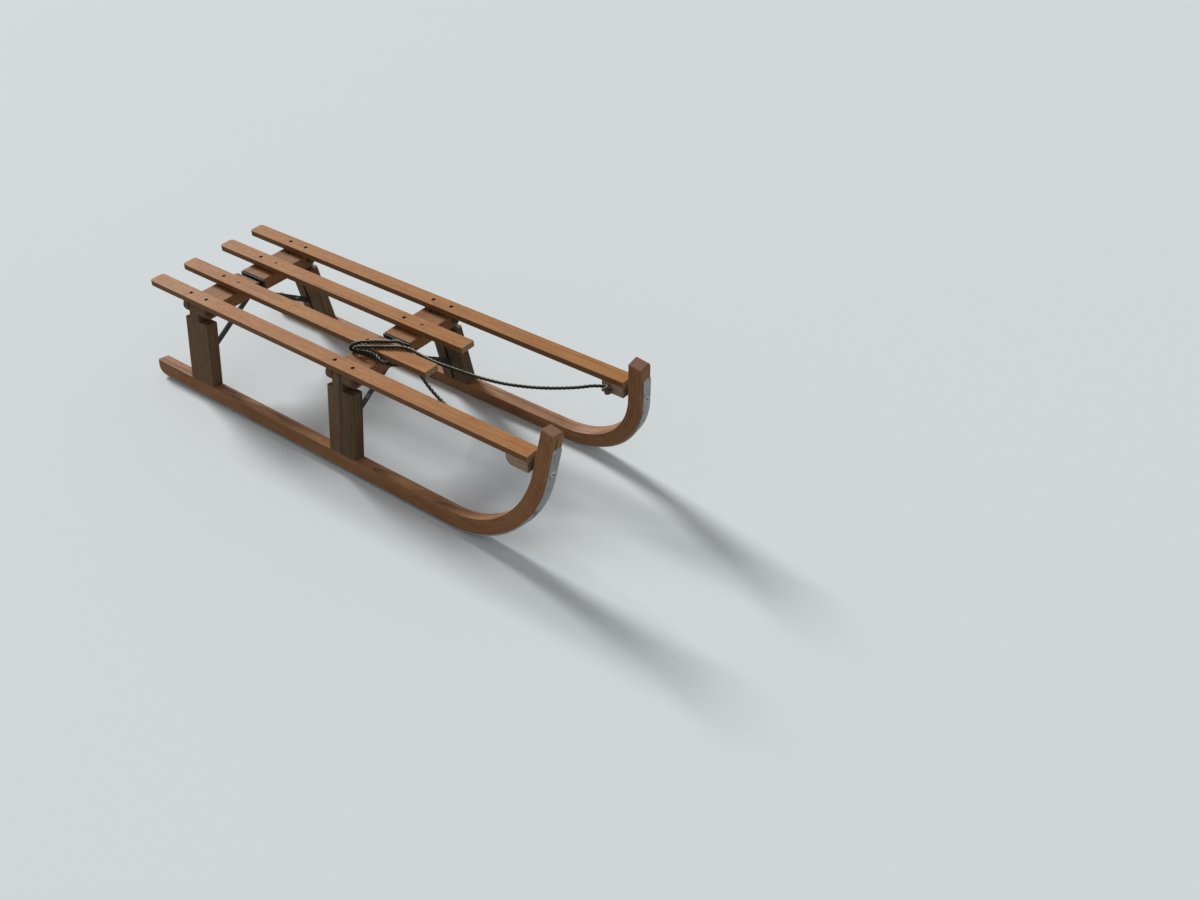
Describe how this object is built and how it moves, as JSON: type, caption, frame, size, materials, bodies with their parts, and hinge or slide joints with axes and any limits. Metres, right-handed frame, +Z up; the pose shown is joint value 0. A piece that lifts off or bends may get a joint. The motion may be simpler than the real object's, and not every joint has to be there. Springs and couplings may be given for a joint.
{
  "type": "folding sledge",
  "caption": "Slatted wooden sledge that is pulled by a rope: curved runners with steel strips, low seat hinged along its middle so that it folds flat.",
  "frame": {"origin": "on the ground, below the middle of the whole outline", "axes": "+X forwards to the horns, +Y to the sledge's left, +Z up; the two halves mirror each other about Y = 0, apart from the rope, the hinge knuckles and the struts' small offset along X"},
  "size_m": [1.1116, 0.36, 0.2863],
  "materials": {
    "slat_wood": "satin, weathered varnish",
    "runner_wood": "satin, weathered varnish",
    "leg_wood": "satin, weathered varnish",
    "beam_wood": "satin, weathered varnish",
    "block_wood": "matte, greyed",
    "runner_steel": "worn",
    "strut_steel": "dark, satin",
    "hinge_steel": "black, satin",
    "bolt_steel": "dull zinc",
    "rope": "twisted, matte"
  },
  "bodies": {
    "right_side": {"right_runner": "runner_wood", "right_runner_strip": "runner_steel", "right_rear_leg": "leg_wood", "right_rear_strut_bolt": "bolt_steel", "right_front_leg": "leg_wood", "right_front_strut_bolt": "bolt_steel"},
    "right_seat": {"right_outer_slat": "slat_wood", "right_inner_slat": "slat_wood", "right_front_block": "block_wood", "right_horn_bolt": "bolt_steel", "right_rear_half_beam": "beam_wood", "right_rear_pivot_bolt": "bolt_steel", "right_rear_hinge_plate": "hinge_steel", "right_front_half_beam": "beam_wood", "right_front_pivot_bolt": "bolt_steel", "right_front_hinge_plate": "hinge_steel", "rear_hinge_pin": "hinge_steel", "front_hinge_pin": "hinge_steel", "rope": "rope"},
    "left_seat": {"left_outer_slat": "slat_wood", "left_inner_slat": "slat_wood", "left_front_block": "block_wood", "left_horn_bolt": "bolt_steel", "left_rear_half_beam": "beam_wood", "left_rear_pivot_bolt": "bolt_steel", "left_rear_hinge_plate": "hinge_steel", "left_front_half_beam": "beam_wood", "left_front_pivot_bolt": "bolt_steel", "left_front_hinge_plate": "hinge_steel"},
    "left_side": {"left_runner": "runner_wood", "left_runner_strip": "runner_steel", "left_rear_leg": "leg_wood", "left_rear_strut_bolt": "bolt_steel", "left_front_leg": "leg_wood", "left_front_strut_bolt": "bolt_steel"},
    "right_struts": {"right_rear_strut": "strut_steel", "right_front_strut": "strut_steel"},
    "left_struts": {"left_rear_strut": "strut_steel", "left_front_strut": "strut_steel"}
  },
  "joints": [
    {"name": "right_fold", "type": "hinge", "parent": "right_side", "child": "right_seat", "pos_m": [0, -0.134, 0.202], "axis": [1, 0, 0], "range_deg": [0, 76]},
    {"name": "centre_fold", "type": "hinge", "parent": "right_seat", "child": "left_seat", "pos_m": [0, 0, 0.172], "axis": [1, 0, 0], "range_deg": [-171, 0]},
    {"name": "left_fold", "type": "hinge", "parent": "left_seat", "child": "left_side", "pos_m": [0, 0.134, 0.202], "axis": [1, 0, 0], "range_deg": [0, 77]},
    {"name": "right_strut_swing", "type": "hinge", "parent": "right_seat", "child": "right_struts", "pos_m": [0, 0, 0.172], "axis": [1, 0, 0], "range_deg": [-35, 0]},
    {"name": "left_strut_swing", "type": "hinge", "parent": "left_seat", "child": "left_struts", "pos_m": [0, 0, 0.172], "axis": [1, 0, 0], "range_deg": [0, 35]}
  ],
  "couplings": [
    {"joint": "centre_fold", "follows": "right_fold", "ratio": -2.236},
    {"joint": "left_fold", "follows": "right_fold", "ratio": 1},
    {"joint": "right_strut_swing", "follows": "right_fold", "ratio": -0.45},
    {"joint": "left_strut_swing", "follows": "right_fold", "ratio": 0.45}
  ]
}
